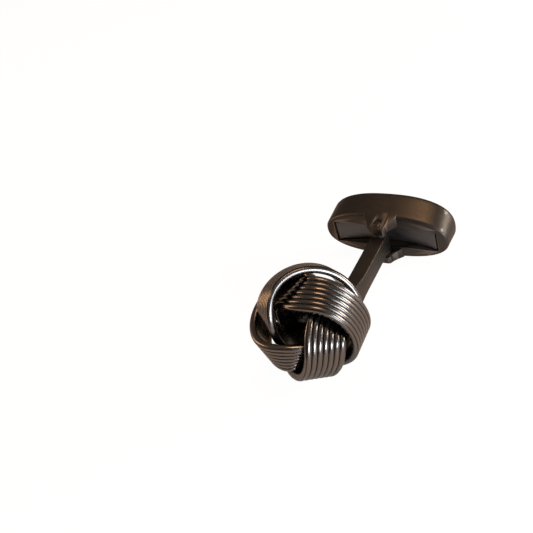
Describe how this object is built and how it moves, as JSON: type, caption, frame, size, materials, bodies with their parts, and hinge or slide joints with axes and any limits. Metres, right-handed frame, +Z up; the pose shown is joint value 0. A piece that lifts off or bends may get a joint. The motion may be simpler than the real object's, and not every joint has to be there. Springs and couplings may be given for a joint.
{
  "type": "cufflink",
  "caption": "Knot cufflink: a hollow ball woven from ribbed metal strip on a tapered post, with a hinged oval toggle that holds a spring leaf.",
  "frame": {"origin": "bottom centre of the bounding box, with the toggle at right angles to the post", "axes": "+Y along the post from the knot to the toggle, +X along the toggle, +Z up"},
  "size_m": [0.0178, 0.0288, 0.0141],
  "materials": {
    "knot_metal": "polished",
    "toggle_metal": "satin",
    "spring_steel": "satin"
  },
  "bodies": {
    "knot_and_post": {"knot_band_1": "knot_metal", "knot_band_2": "knot_metal", "knot_band_3": "knot_metal", "knot_band_4": "knot_metal", "post": "knot_metal"},
    "toggle": {"toggle_body": "toggle_metal", "spring_leaf": "spring_steel", "pivot_pin": "toggle_metal"}
  },
  "joints": [
    {"name": "toggle_hinge", "type": "hinge", "parent": "knot_and_post", "child": "toggle", "pos_m": [0.00018, 0.00939, 0.00489], "axis": [0, 0, 1], "range_deg": [-90, 90]}
  ]
}
